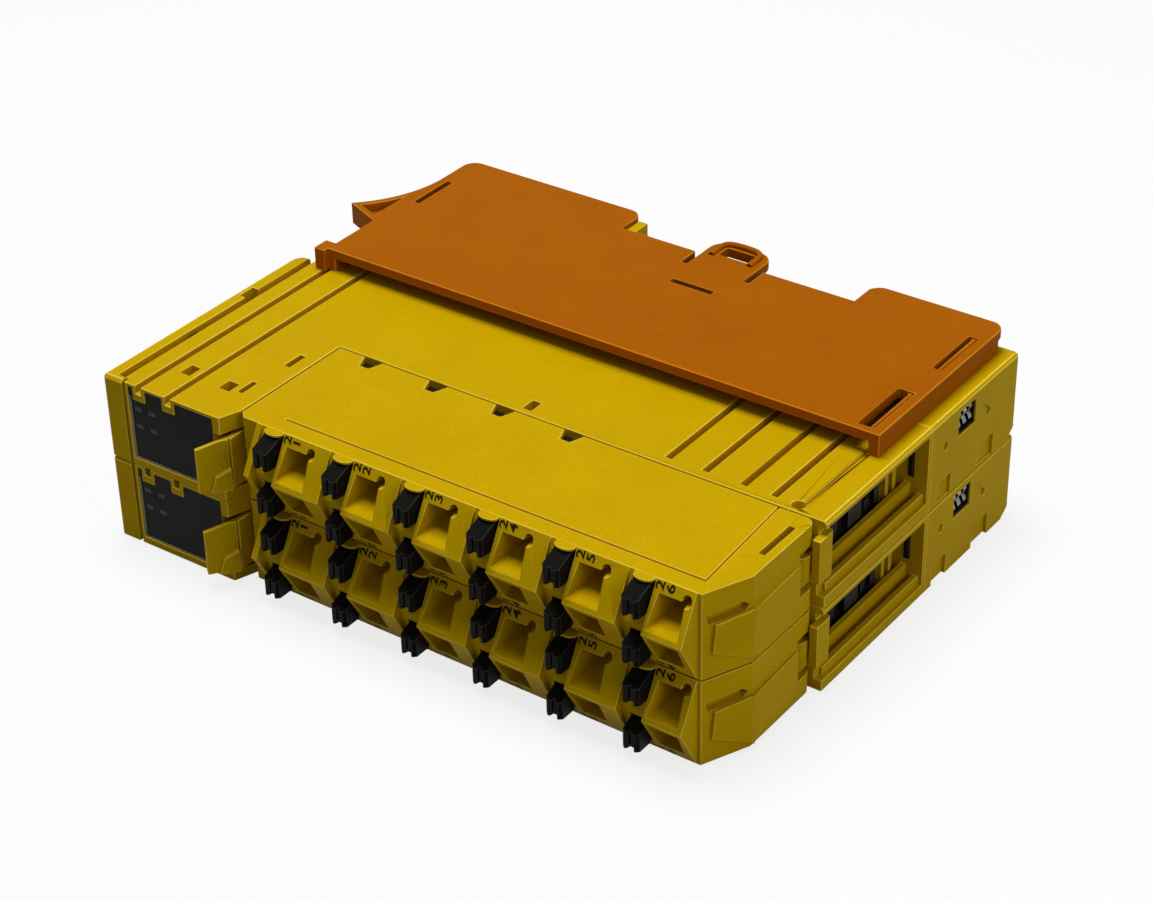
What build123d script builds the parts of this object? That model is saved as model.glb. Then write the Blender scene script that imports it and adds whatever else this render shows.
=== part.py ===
# Two-slice safety controller module of a rail-mounted I/O system, lying on its flat side.
# X runs along the module's height: status panel end at -X, hinge and vent end at +X.
# -Y is the terminal front, +Y the mounting rail side, and Z is the stacking direction of the slices.
# Lengths are millimetres.
import os

from build123d import *

os.makedirs("parts", exist_ok=True)

# Slice stack
slice_pitch = 12.5
slice_gap = 0.1
slice_height = slice_pitch - slice_gap
levels = (("lower", 0.0), ("upper", slice_pitch))
stack_top = slice_pitch + slice_height

# Overall outline
end_right = 47.85
end_left = -47.85
back_face = 36.9
front_block_face = -33.9
front_wall_face = -11.35
bus_face = 14.0
wall = 1.2
floor_thickness = 1.0
roof_thickness = 2.0
running_gap = 0.15

# Electronics housing
rim_inner = -45.85
rim_end = 5.4
body_left = -44.65
rim_end_radius = 2.0
flange_radius = 0.6
edge_chamfer = 0.4
block_corner = -27.75
flank_x = -26.6
flank_start = -30.6
groove_width = 1.0
groove_depth = 1.2
long_groove_places = (-41.65, -36.55)
short_groove_places = (24.35, 29.75, 35.25, 39.6)
short_groove_start = -9.9
edge_groove_x = 43.5
edge_groove_depth = 0.5
channel_depth = 1.2
channel_start = -32.9
rim_slot_place = -18.9
rim_slot_length = 1.8
rim_slot_depth = 3.6
rim_slot_bridge = 0.7
flange_groove_left = -44.5
flange_groove_width = 0.5
flange_groove_depth = 0.8
rim_pocket_place = -6.9
rim_pocket_length = 2.6
rim_pocket_depth = 2.5
hole_depth = 1.5
# Coding holes in the roof: centre x, centre y, length along X, length along Y
coding_holes = (
    (-38.75, -26.9, 1.6, 2.2),
    (-31.95, -27.1, 1.7, 2.0),
    (-29.8, -26.0, 0.8, 2.9),
    (-29.05, -17.5, 0.9, 3.2),
    (3.2, -9.3, 1.3, 2.2),
)
tool_hole_x = 43.0
tool_hole_y = -9.9
tool_hole_radius = 0.9

# Vent chamber at the +X end
vent_wall_inner = 42.4
vent_wall_outer = 43.4
vent_front = -10.2
vent_back = 13.2
vent_floor = 1.6
vent_roof_thickness = 1.0
vent_rail_width = 0.8
vent_rail_heights = (2.4, 1.2)
vent_rail_places = (44.6, 46.4)
vent_slot_length = 5.4
vent_slot_height = 6.0
vent_slot_pitch = 7.6
vent_slot_count = 3
vent_post_radius = 0.9
clip_bottom = 4.2
clip_top = 10.4

# Status panel and light guide
panel_left = -43.5
panel_width = 14.45
panel_bottom = 1.1
panel_height = 10.8
panel_thickness = 0.8
panel_inset = 0.2
panel_clearance = 0.05
panel_notch_width = 2.2
panel_notch_depth = 1.8
led_width = 1.4
led_height = 0.8
led_columns = 2
led_rows = 2
led_pitch_x = 2.4
led_pitch_z = 2.6
led_centre_x = -41.0
led_centre_z = 7.4
guide_depth = 1.2
guide_margin = 0.6

# Terminal block
block_clearance = 0.1
block_bottom = block_clearance
block_top = slice_height - block_clearance
block_middle = (block_bottom + block_top) / 2
block_left = -26.4
block_corner_cut = 0.9
block_front = -31.7
block_right = 46.5
block_front_right = 43.6
block_side_start = -25.3
block_back = front_wall_face - running_gap
nose_left = -23.2
nose_right = 43.0
nose_reach = 3.4
trough_reach = 2.0
group_count = 6
group_pitch = 11.2
first_rib_width = 0.9
funnel_wall_start = 4.6
funnel_start = 4.95
funnel_width = 4.6
funnel_height = 4.6
funnel_edge_margin = 0.95
funnel_throat = 2.1
funnel_throat_y = -28.4
funnel_mouth_y = block_front - nose_reach
probe_hole_radius = 0.7
probe_hole_sides = 12
probe_hole_depth = 5.0
pocket_width = 4.0
pocket_height = 4.0
pocket_front = -27.6
pocket_edge_margin = 1.15
label_line_width = 0.35
label_line_depth = 0.3
label_line_front = 2.4
label_line_left = -20.6
label_line_right = 42.3
label_line_slant = 1.2
snap_window_count = 4
snap_window_first = -20.7
snap_window_pitch = 10.7
snap_window_wide = 3.2
snap_window_narrow = 1.6
snap_window_length = 2.1
snap_window_depth = 1.0
side_slot_x = 44.4
side_slot_front = -21.0
side_slot_back = -14.2
side_slot_width = 0.9
side_slot_depth = 1.5
grip_depth = 1.0
pad_rise = 0.5
pad_mitre = 0.11
pad_end_y = -15.6
# Outlines on the slanted corner: distance along the corner, height
grip_outline = ((0.9, 7.7), (0.6, 9.0), (5.7, 9.2), (6.6, 8.5), (5.9, 7.9))
pad_corner_low = 0.9
pad_corner_high = 7.9
pad_end_low = 2.4
pad_end_high = 8.4
pad_shoulder = (1.7, 7.6)
pad_flank = (1.3, 3.7)

# Hinge of the terminal block
knuckle_radius = 1.4
hinge_x = block_right - knuckle_radius
hinge_y = block_back - knuckle_radius
hinge_bar_radius = 0.65
hinge_clearance = 0.15
hinge_bay_bottom = 3.0
hinge_bay_top = 9.4
hinge_bay_left = 43.3
hinge_bay_front = -15.0
hinge_ear_thickness = 1.0
hinge_ear_half_width = 0.7
hinge_ear_inset = 0.2
hook_mouth = 0.9
hook_gap = 0.2
hinge_cheek_gap = 0.25
cheek_front = -12.8

# Wire release levers
lever_start = 1.95
lever_width = 2.45
lever_tip = -35.4
lever_inner = -27.6
lever_height = 3.6
lever_shoulder = 1.1
lever_crest_y = -32.6
lever_chamfer = 0.35
lever_ridge_gap = 0.3
lever_ridge_depth = 0.25
lever_bottoms = (1.4, 8.2)
lever_notch_width = 1.1
lever_notch_depth = 0.6
lever_notch_reach = 1.6
lever_root = 0.5
lever_root_y = -32.6
lever_clearance = 0.15
lever_travel = 1.2

# Terminal lock lever
lock_pocket_left = -28.9
lock_pocket_back = -13.0
lock_pocket_bottom = 1.4
lock_pocket_top = 9.9
lock_bottom = 2.0
lock_top = 9.4
lock_pin_x = -27.15
lock_pin_y = -27.2
lock_pin_radius = 0.45
lock_pin_clearance = 0.1
lock_arm_half = 0.45
lock_boss_radius = 0.75
lock_fork_bottom = 4.9
lock_fork_top = 6.9
lock_fork_front = -28.5
lock_bend_y = -33.2
lock_tip_x = -29.75
lock_tip_y = -36.62
lock_tip_drop = 1.3
wedge_rise = 0.5
# Outline on the tongue: distance from the tip, height
wedge_outline = ((1.5, 2.0), (2.2, 4.3), (4.3, 5.2), (4.3, 2.0))
ear_gap = 0.15

# Contacts and clamps
pin_width = 0.8
pin_height = 2.4
pin_reach = 3.0
clamp_thickness = 0.4
clamp_height = 2.4
clamp_back = -16.0
clamp_front = -26.8
clamp_leg_back = -20.5
clamp_leg_reach = 3.0

# Circuit board
board_bottom = 5.2
board_thickness = 1.2
board_margin = 0.3
post_size = 1.6
# Chips and relays: centre x, centre y, length along X, length along Y, height
board_chips = (
    (-20.0, 2.0, 14.0, 10.0, 1.2),
    (2.0, 3.0, 10.0, 10.0, 1.2),
    (20.0, 6.0, 12.0, 8.0, 3.2),
    (36.5, -4.0, 9.0, 8.0, 3.2),
    (36.5, 7.0, 9.0, 8.0, 3.2),
)
capacitor_places = ((-36.0, -4.0), (-36.0, 4.5))
capacitor_radius = 3.0
capacitor_sides = 12
capacitor_height = 3.4

# Bus module
rail_width = 35.0
rail_clearance = 0.4
notch_centre = 8.1
notch_depth = 5.5
notch_width = rail_width + rail_clearance
notch_left = notch_centre - notch_width / 2
notch_right = notch_centre + notch_width / 2
notch_floor = back_face - notch_depth
notch_radius = 1.5
back_corner_radius = 0.8
foot_chamfer_height = 1.4
foot_chamfer_y = 2.2
contact_window_front = 20.9
contact_window_length = 4.4
contact_window_bottom = 7.6
contact_window_height = 3.5
contact_window_depth = 4.0
dimple_radius = 0.6
dimple_depth = 0.6
dimple_places = ((28.95, 7.5), (17.75, 7.9))
# Seat recesses along the lower edge of the end face: front y, length, height
end_recesses = ((15.8, 3.6, 3.1), (26.4, 4.2, 3.3))
end_recess_depth = 0.5
stop_post_width = 1.4
stop_post_top = 27.6
bus_contact_count = 3
bus_contact_thickness = 0.5
bus_contact_base = 1.5
bus_contact_root = 0.9
bus_contact_rise = 2.4
bus_contact_top = 2.9
bus_contact_pitch = 1.4

# Rail lock bar
bar_y = 33.1
bar_depth = 2.0
bar_bottom = 4.6
bar_height = 3.2
bar_clearance = 0.2
bar_nose = 0.75
bar_relief_width = 0.9
bar_relief_depth = 0.4
bar_handle_left = -47.6
bar_handle_gap = 0.3
bar_handle_front = 31.2
bar_handle_back = 36.4
bar_handle_bottom = 2.4
bar_handle_height = 7.0
bar_slot_width = 1.0
bar_slot_length = 3.0

# Locking plate
plate_bottom = 26.8
plate_top = 28.2
plate_front = 4.2
plate_left = -41.45
plate_right = 45.7
plate_back = 36.7
plate_corner_radius = 2.0
plate_notch_left = -11.15
plate_notch_right = 26.0
plate_side_wall = 1.6
plate_back_wall = 1.2
plate_left_wall = 1.2
plate_hook_width = 1.75
plate_hook_length = 2.6
plate_hook_overhang = 0.8
plate_slot_inner = 0.25
plate_ridge_width = 0.5
plate_ridge_gap = 0.35
plate_ridge_drop = 0.35
# Side slots: front y, length, width
plate_slots = ((5.3, 9.9, 2.3), (22.0, 9.5, 1.3))
tab_left = 1.9
tab_right = 11.0
tab_slit_width = 0.9
tab_slit_front = 27.9
tab_loop_back = 35.9
tab_loop_radius = 2.4
tab_window_width = 4.4
tab_window_length = 2.2
tab_window_centre_y = 33.4
bridge_slit_y = 22.8
bridge_slit_length = 6.5
wing_front_y = 14.1
wing_tip_x = -47.5
wing_tip_y = 16.6
wing_back_y = 29.4
wing_radius = -18.0
wing_rim = 0.9
wing_recess_depth = 1.4
wing_slot_x = -39.8
wing_slot_front = 21.8
wing_slot_length = 7.6
wing_slot_width = 0.9


def box(x_range, y_range, z_range, mode=Mode.ADD):
    """Box between two limits along each axis, in the part being built."""
    size = [high - low for low, high in (x_range, y_range, z_range)]
    with Locations((x_range[0], y_range[0], z_range[0])):
        Box(*size, align=(Align.MIN, Align.MIN, Align.MIN), mode=mode)


def prism(points, low, high, mode=Mode.ADD):
    """Upright prism over a closed plan outline."""
    with BuildSketch(Plane.XY.offset(low)) as outline:
        with BuildLine():
            Polyline(*points, close=True)
        make_face()
    extrude(outline.sketch, amount=high - low, mode=mode)


def cross_prism(points, left, right, mode=Mode.ADD):
    """Prism along X over a closed outline of (y, z) points."""
    with BuildSketch(Plane.YZ.offset(left)) as outline:
        with BuildLine():
            Polyline(*points, close=True)
        make_face()
    extrude(outline.sketch, amount=right - left, mode=mode)


def face_prism(plane, points, rise, mode=Mode.ADD):
    """Prism standing on a plane, over a closed outline of points on that plane."""
    with BuildSketch(plane) as outline:
        with BuildLine():
            Polyline(*points, close=True)
        make_face()
    extrude(outline.sketch, amount=rise, mode=mode)


def panel_outline(foot, grow):
    """Status panel outline on its front plane, with the notches that the roof grooves leave."""
    with Locations((panel_left + panel_width / 2, foot + panel_bottom + panel_height / 2)):
        Rectangle(panel_width + 2 * grow, panel_height + 2 * grow)
    for place in long_groove_places:
        with Locations((place, foot + panel_bottom + panel_height + grow)):
            Rectangle(
                panel_notch_width - 2 * grow,
                2 * panel_notch_depth,
                mode=Mode.SUBTRACT,
            )


def housing_plan():
    """Plan outline of the electronics housing."""
    return (
        (end_left, front_block_face),
        (block_corner, front_block_face),
        (flank_x, flank_start),
        (flank_x, front_wall_face),
        (block_right + hinge_cheek_gap, front_wall_face),
        (block_right + hinge_cheek_gap, cheek_front),
        (end_right, cheek_front),
        (end_right, bus_face),
        (body_left, bus_face),
        (body_left, rim_end),
        (end_left, rim_end),
    )


def block_plan():
    """Plan outline of the terminal block without its nose, rounded about the hinge."""
    Polyline(
        (hinge_x, block_back),
        (block_left, block_back),
        (block_left, block_front + block_corner_cut),
        (block_left + block_corner_cut, block_front),
        (block_front_right, block_front),
        (block_right, block_side_start),
        (block_right, hinge_y),
    )
    RadiusArc((block_right, hinge_y), (hinge_x, block_back), -knuckle_radius)


def group_left(index):
    """Left edge of a terminal group."""
    return nose_left + index * group_pitch


def funnel_rows():
    """Bottom height of the lower and the upper wire funnel."""
    return (
        block_bottom + funnel_edge_margin,
        block_top - funnel_edge_margin - funnel_height,
    )


def pocket_rows():
    """Bottom height of the lower and the upper clamp pocket."""
    return (
        block_bottom + pocket_edge_margin,
        block_top - pocket_edge_margin - pocket_height,
    )


def tapered_funnel():
    """Flat-walled wire funnel about its own axis, from the mouth to the throat."""
    half_throat = funnel_throat / 2
    plan = [
        (-funnel_width / 2, funnel_mouth_y),
        (funnel_width / 2, funnel_mouth_y),
        (half_throat, funnel_throat_y),
        (-half_throat, funnel_throat_y),
    ]
    side = [
        (funnel_mouth_y, -funnel_height / 2),
        (funnel_mouth_y, funnel_height / 2),
        (funnel_throat_y, half_throat),
        (funnel_throat_y, -half_throat),
    ]
    with BuildPart() as funnel:
        prism(plan, -funnel_height / 2, funnel_height / 2)
        cross_prism(side, -funnel_width / 2, funnel_width / 2, Mode.INTERSECT)
    return funnel.part


wire_funnel = tapered_funnel()
funnel_centre = funnel_start + funnel_width / 2
panel_face = front_block_face + panel_inset
panel_seat = panel_face + panel_thickness
inner_front = front_wall_face + wall
inner_block_front = panel_seat + wall
inner_left = body_left + wall
inner_back = bus_face - wall
inner_right_of_block = lock_pocket_left - wall
board_top = board_bottom + board_thickness
board_left = inner_left + board_margin
board_right = vent_wall_inner - board_margin
board_back = inner_back - board_margin
board_front = inner_front + board_margin
board_block_front = inner_block_front + board_margin
board_block_right = inner_right_of_block - board_margin
corner_run = Vector(block_right - block_front_right, block_side_start - block_front, 0)
corner_plane = Plane(
    origin=(block_front_right, block_front, 0),
    x_dir=corner_run,
    z_dir=corner_run.cross(Vector(0, 0, 1)),
)
pad_corner = corner_run.length + pad_mitre
pad_front_y = block_side_start - pad_mitre
tongue_run = Vector(lock_pin_x - lock_tip_x, lock_bend_y - lock_tip_y, 0)
tongue_plane = Plane(
    origin=(lock_tip_x, lock_tip_y, 0),
    x_dir=tongue_run,
    z_dir=tongue_run.cross(Vector(0, 0, 1)),
)
bay_low = hinge_bay_bottom + hinge_ear_inset
bay_high = hinge_bay_top - hinge_ear_inset

for level, base in levels:
    roof = base + slice_height

    # Electronics housing: a thin shell, open through the vent at its +X end
    with BuildPart() as housing:
        prism(housing_plan(), base, roof)
        flange_corners = housing.edges().filter_by(Axis.Z).group_by(Axis.X)[0].sort_by(Axis.Y)
        fillet(flange_corners[-1], rim_end_radius)
        flange_corners = housing.edges().filter_by(Axis.Z).group_by(Axis.X)[0].sort_by(Axis.Y)
        fillet(flange_corners[0], flange_radius)
        box(
            (inner_left, vent_wall_inner),
            (inner_front, inner_back),
            (base + floor_thickness, roof - roof_thickness),
            Mode.SUBTRACT,
        )
        box(
            (inner_left, inner_right_of_block),
            (inner_block_front, inner_front),
            (base + floor_thickness, roof - roof_thickness),
            Mode.SUBTRACT,
        )
        box(
            (lock_pocket_left, flank_x),
            (front_block_face, lock_pocket_back),
            (base + lock_pocket_bottom, base + lock_pocket_top),
            Mode.SUBTRACT,
        )
        # Vent chamber with its slotted inner wall, floor rails and hinge side post
        box(
            (vent_wall_outer, end_right),
            (vent_front, vent_back),
            (base + vent_floor, roof - vent_roof_thickness),
            Mode.SUBTRACT,
        )
        for index in range(vent_slot_count):
            slot_middle = (vent_front + vent_back) / 2
            slot_middle += (index - (vent_slot_count - 1) / 2) * vent_slot_pitch
            box(
                (vent_wall_inner, vent_wall_outer),
                (slot_middle - vent_slot_length / 2, slot_middle + vent_slot_length / 2),
                (base + board_bottom, base + board_bottom + vent_slot_height),
                Mode.SUBTRACT,
            )
        for rail_x, rail_height in zip(vent_rail_places, vent_rail_heights):
            box(
                (rail_x, rail_x + vent_rail_width),
                (vent_front, vent_back),
                (base + vent_floor, base + vent_floor + rail_height),
            )
        with BuildSketch(Plane.XY.offset(base + clip_bottom)):
            with Locations((end_right - vent_post_radius, vent_front)):
                Circle(vent_post_radius)
        extrude(amount=clip_top - clip_bottom)
        # Clip beside the hinge, free above and below
        for z_range in (
            (base, base + clip_bottom),
            (base + clip_top, roof),
        ):
            box(
                (block_right + hinge_cheek_gap, end_right),
                (cheek_front, front_wall_face),
                z_range,
                Mode.SUBTRACT,
            )
        for z_range in (
            (base + vent_floor, base + clip_bottom),
            (base + clip_top, roof - vent_roof_thickness),
        ):
            box(
                (block_right + hinge_cheek_gap, end_right),
                (front_wall_face, vent_front),
                z_range,
                Mode.SUBTRACT,
            )
        # Hinge bar between two ears
        with BuildSketch(Plane.XY.offset(base + bay_low)):
            with Locations((hinge_x, hinge_y)):
                Circle(hinge_ear_half_width)
            with Locations((hinge_x, (hinge_y + front_wall_face) / 2)):
                Rectangle(2 * hinge_ear_half_width, front_wall_face - hinge_y)
        extrude(amount=hinge_ear_thickness)
        with BuildSketch(Plane.XY.offset(base + bay_high - hinge_ear_thickness)):
            with Locations((hinge_x, hinge_y)):
                Circle(hinge_ear_half_width)
            with Locations((hinge_x, (hinge_y + front_wall_face) / 2)):
                Rectangle(2 * hinge_ear_half_width, front_wall_face - hinge_y)
        extrude(amount=hinge_ear_thickness)
        with BuildSketch(Plane.XY.offset(base + bay_low)):
            with Locations((hinge_x, hinge_y)):
                Circle(hinge_bar_radius)
        extrude(amount=bay_high - bay_low)
        # Roof grooves, rim channel, rim openings and coding holes
        for place in long_groove_places:
            box(
                (place - groove_width / 2, place + groove_width / 2),
                (front_block_face, bus_face),
                (roof - groove_depth, roof),
                Mode.SUBTRACT,
            )
        for place in short_groove_places:
            box(
                (place - groove_width / 2, place + groove_width / 2),
                (short_groove_start, bus_face),
                (roof - groove_depth, roof),
                Mode.SUBTRACT,
            )
        box(
            (edge_groove_x, edge_groove_x + groove_width),
            (short_groove_start, bus_face),
            (roof - edge_groove_depth, roof),
            Mode.SUBTRACT,
        )
        box(
            (rim_inner, body_left),
            (channel_start, rim_end),
            (roof - channel_depth, roof),
            Mode.SUBTRACT,
        )
        for slot_left, slot_top in ((end_left, roof - rim_slot_bridge), (rim_inner, roof)):
            box(
                (slot_left, body_left),
                (
                    rim_slot_place - rim_slot_length / 2,
                    rim_slot_place + rim_slot_length / 2,
                ),
                (roof - rim_slot_depth, slot_top),
                Mode.SUBTRACT,
            )
        box(
            (flange_groove_left, flange_groove_left + flange_groove_width),
            (front_block_face, front_block_face + flange_groove_depth),
            (base, roof),
            Mode.SUBTRACT,
        )
        box(
            (rim_inner - groove_width, body_left),
            (rim_pocket_place - rim_pocket_length / 2, rim_pocket_place + rim_pocket_length / 2),
            (roof - rim_pocket_depth, roof),
            Mode.SUBTRACT,
        )
        for hole_x, hole_y, hole_length, hole_width in coding_holes:
            box(
                (hole_x - hole_length / 2, hole_x + hole_length / 2),
                (hole_y - hole_width / 2, hole_y + hole_width / 2),
                (roof - hole_depth, roof),
                Mode.SUBTRACT,
            )
        with BuildSketch(Plane.XY.offset(roof - hole_depth)):
            with Locations((tool_hole_x, tool_hole_y)):
                Circle(tool_hole_radius)
        extrude(amount=hole_depth, mode=Mode.SUBTRACT)
        # Seat of the status panel and of its light guide
        with BuildSketch(Plane.XZ.offset(-front_block_face)):
            panel_outline(base, panel_clearance)
        extrude(amount=front_block_face - panel_seat, mode=Mode.SUBTRACT)
        box(
            (
                led_centre_x - led_pitch_x / 2 - led_width / 2 - guide_margin,
                led_centre_x + led_pitch_x / 2 + led_width / 2 + guide_margin,
            ),
            (panel_seat, panel_seat + wall),
            (
                base + led_centre_z - led_pitch_z / 2 - led_height / 2 - guide_margin,
                base + led_centre_z + led_pitch_z / 2 + led_height / 2 + guide_margin,
            ),
            Mode.SUBTRACT,
        )
        # Posts that carry the circuit board
        for post_x in (board_left, board_right - post_size):
            box(
                (post_x, post_x + post_size),
                (board_back - post_size, board_back),
                (base + floor_thickness, base + board_bottom),
            )
        box(
            (board_left, board_left + post_size),
            (board_block_front, board_block_front + post_size),
            (base + floor_thickness, base + board_bottom),
        )
        # Bevelled roof edges at both ends
        roof_edges = housing.edges().filter_by(Axis.Y).group_by(Axis.Z)[-1].group_by(Axis.X)
        chamfer(roof_edges[0] + roof_edges[-1], edge_chamfer)
    housing.part.label = f"{level}_electronics_housing"
    export_step(housing.part, f"parts/{level}_electronics_housing.step")

    # Status panel with its window openings
    with BuildPart() as status_panel:
        with BuildSketch(Plane.XZ.offset(-panel_face)):
            panel_outline(base, 0)
            with Locations((led_centre_x, base + led_centre_z)):
                with GridLocations(led_pitch_x, led_pitch_z, led_columns, led_rows):
                    Rectangle(led_width, led_height, mode=Mode.SUBTRACT)
        extrude(amount=-panel_thickness)
    status_panel.part.label = f"{level}_status_panel"
    export_step(status_panel.part, f"parts/{level}_status_panel.step")

    # Light guide behind the panel, its ends flush in the windows
    with BuildPart() as light_guide:
        with BuildSketch(Plane.XZ.offset(-panel_face)):
            with Locations((led_centre_x, base + led_centre_z)):
                with GridLocations(led_pitch_x, led_pitch_z, led_columns, led_rows):
                    Rectangle(led_width - 2 * panel_clearance, led_height - 2 * panel_clearance)
        extrude(amount=-panel_thickness)
        with BuildSketch(Plane.XZ.offset(-panel_seat)):
            with Locations((led_centre_x, base + led_centre_z)):
                Rectangle(
                    led_pitch_x + led_width + guide_margin,
                    led_pitch_z + led_height + guide_margin,
                )
        extrude(amount=-guide_depth)
    light_guide.part.label = f"{level}_light_guide"
    export_step(light_guide.part, f"parts/{level}_light_guide.step")

    # Circuit board on the housing's posts
    with BuildPart() as board:
        prism(
            (
                (board_left, board_block_front),
                (board_block_right, board_block_front),
                (board_block_right, board_front),
                (board_right, board_front),
                (board_right, board_back),
                (board_left, board_back),
            ),
            base + board_bottom,
            base + board_top,
        )
    board.part.label = f"{level}_circuit_board"
    export_step(board.part, f"parts/{level}_circuit_board.step")

    # Board components: chips, two relays beside the vent and two capacitors
    with BuildPart() as components:
        for chip_x, chip_y, chip_length, chip_width, chip_height in board_chips:
            box(
                (chip_x - chip_length / 2, chip_x + chip_length / 2),
                (chip_y - chip_width / 2, chip_y + chip_width / 2),
                (base + board_top, base + board_top + chip_height),
            )
        with BuildSketch(Plane.XY.offset(base + board_top)):
            with Locations(*capacitor_places):
                RegularPolygon(capacitor_radius, capacitor_sides)
        extrude(amount=capacitor_height)
    components.part.label = f"{level}_board_components"
    export_step(components.part, f"parts/{level}_board_components.step")

    # Contact pins on the housing wall, reaching into the terminal block
    with BuildPart() as pins:
        for index in range(group_count):
            pin_x = group_left(index) + funnel_centre
            for pocket_bottom in pocket_rows():
                pin_z = base + pocket_bottom + pocket_height / 2
                box(
                    (pin_x - pin_width / 2, pin_x + pin_width / 2),
                    (front_wall_face - pin_reach, front_wall_face),
                    (pin_z - pin_height / 2, pin_z + pin_height / 2),
                )
    pins.part.label = f"{level}_contact_pins"
    export_step(pins.part, f"parts/{level}_contact_pins.step")

    # Terminal block: two rows of six wire funnels on a roof-shaped nose
    with BuildPart() as terminal_block:
        with BuildSketch(Plane.XY.offset(base + block_bottom)):
            with BuildLine():
                block_plan()
            make_face()
        extrude(amount=block_top - block_bottom)
        cross_prism(
            (
                (block_front, base + block_bottom),
                (block_front, base + block_top),
                (block_front - trough_reach, base + block_middle),
            ),
            nose_left,
            nose_right,
        )
        for index in range(-1, group_count):
            wall_left = group_left(index) + funnel_wall_start
            wall_right = group_left(index + 1) + first_rib_width
            cross_prism(
                (
                    (block_front, base + block_bottom),
                    (block_front, base + block_top),
                    (block_front - nose_reach, base + block_middle),
                ),
                max(wall_left, nose_left),
                min(wall_right, nose_right),
            )
        for index in range(group_count):
            left = group_left(index)
            # Lever slots
            for lever_bottom in lever_bottoms:
                box(
                    (
                        left + lever_start - lever_clearance,
                        left + lever_start + lever_width + lever_clearance,
                    ),
                    (
                        block_front - nose_reach,
                        lever_inner + lever_travel + lever_clearance,
                    ),
                    (
                        base + lever_bottom - lever_clearance,
                        base + lever_bottom + lever_height + lever_clearance,
                    ),
                    Mode.SUBTRACT,
                )
            # Wire funnels that narrow to the clamp pockets
            for funnel_bottom, pocket_bottom in zip(funnel_rows(), pocket_rows()):
                middle = base + funnel_bottom + funnel_height / 2
                add(Pos(left + funnel_centre, 0, middle) * wire_funnel, mode=Mode.SUBTRACT)
                box(
                    (
                        left + funnel_centre - funnel_throat / 2,
                        left + funnel_centre + funnel_throat / 2,
                    ),
                    (funnel_throat_y, pocket_front),
                    (middle - funnel_throat / 2, middle + funnel_throat / 2),
                    Mode.SUBTRACT,
                )
                box(
                    (
                        left + funnel_centre - pocket_width / 2,
                        left + funnel_centre + pocket_width / 2,
                    ),
                    (pocket_front, block_back),
                    (base + pocket_bottom, base + pocket_bottom + pocket_height),
                    Mode.SUBTRACT,
                )
            # Probe hole at the corner of the upper funnel
            with BuildSketch(Plane.XZ.offset(nose_reach - block_front)):
                with Locations(
                    (
                        left + funnel_start + funnel_width - probe_hole_radius / 2,
                        base + funnel_rows()[1] + funnel_height - probe_hole_radius / 2,
                    )
                ):
                    RegularPolygon(probe_hole_radius, probe_hole_sides)
            extrude(amount=-probe_hole_depth, mode=Mode.SUBTRACT)
        # Outline of the label field on the roof
        box(
            (label_line_left, label_line_right),
            (
                block_front + label_line_front,
                block_front + label_line_front + label_line_width,
            ),
            (base + block_top - label_line_depth, base + block_top),
            Mode.SUBTRACT,
        )
        prism(
            (
                (label_line_right, block_front + label_line_front),
                (label_line_right + label_line_width, block_front + label_line_front),
                (label_line_right + label_line_width - label_line_slant, block_back),
                (label_line_right - label_line_slant, block_back),
            ),
            base + block_top - label_line_depth,
            base + block_top,
            Mode.SUBTRACT,
        )
        for index in range(snap_window_count):
            window_x = snap_window_first + index * snap_window_pitch
            prism(
                (
                    (window_x - snap_window_wide / 2, block_back),
                    (window_x - snap_window_narrow / 2, block_back - snap_window_length),
                    (window_x + snap_window_narrow / 2, block_back - snap_window_length),
                    (window_x + snap_window_wide / 2, block_back),
                ),
                base + block_top - snap_window_depth,
                base + block_top,
                Mode.SUBTRACT,
            )
        box(
            (side_slot_x, side_slot_x + side_slot_width),
            (side_slot_front, side_slot_back),
            (base + block_top - side_slot_depth, base + block_top),
            Mode.SUBTRACT,
        )
        # Raised pad round the slanted corner, with the finger grip above it
        face_prism(
            corner_plane,
            (
                (pad_corner, base + pad_corner_low),
                (pad_corner, base + pad_corner_high),
                (pad_shoulder[0], base + pad_shoulder[1]),
                (pad_flank[0], base + pad_flank[1]),
            ),
            pad_rise,
        )
        cross_prism(
            (
                (pad_front_y, base + pad_corner_low),
                (pad_end_y, base + pad_end_low),
                (pad_end_y, base + pad_end_high),
                (pad_front_y, base + pad_corner_high),
            ),
            block_right - pad_rise,
            block_right + pad_rise,
        )
        face_prism(
            corner_plane,
            [(run, base + height) for run, height in grip_outline],
            -grip_depth,
            Mode.SUBTRACT,
        )
        # Hinge hook in its bay
        box(
            (hinge_bay_left, block_right),
            (hinge_bay_front, block_back),
            (base + hinge_bay_bottom, base + hinge_bay_top),
            Mode.SUBTRACT,
        )
        with BuildSketch(
            Plane.XY.offset(base + bay_low + hinge_ear_thickness + hook_gap)
        ):
            with Locations((hinge_x, hinge_y)):
                Circle(knuckle_radius)
            with Locations((hinge_x, (hinge_y + hinge_bay_front) / 2)):
                Rectangle(2 * hinge_ear_half_width, hinge_y - hinge_bay_front)
            with Locations((hinge_x, hinge_y)):
                Circle(hinge_bar_radius + hinge_clearance, mode=Mode.SUBTRACT)
            with Locations((hinge_x, hinge_y + knuckle_radius / 2)):
                Rectangle(hook_mouth, knuckle_radius, mode=Mode.SUBTRACT)
        extrude(amount=bay_high - bay_low - 2 * hinge_ear_thickness - 2 * hook_gap)
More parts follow.
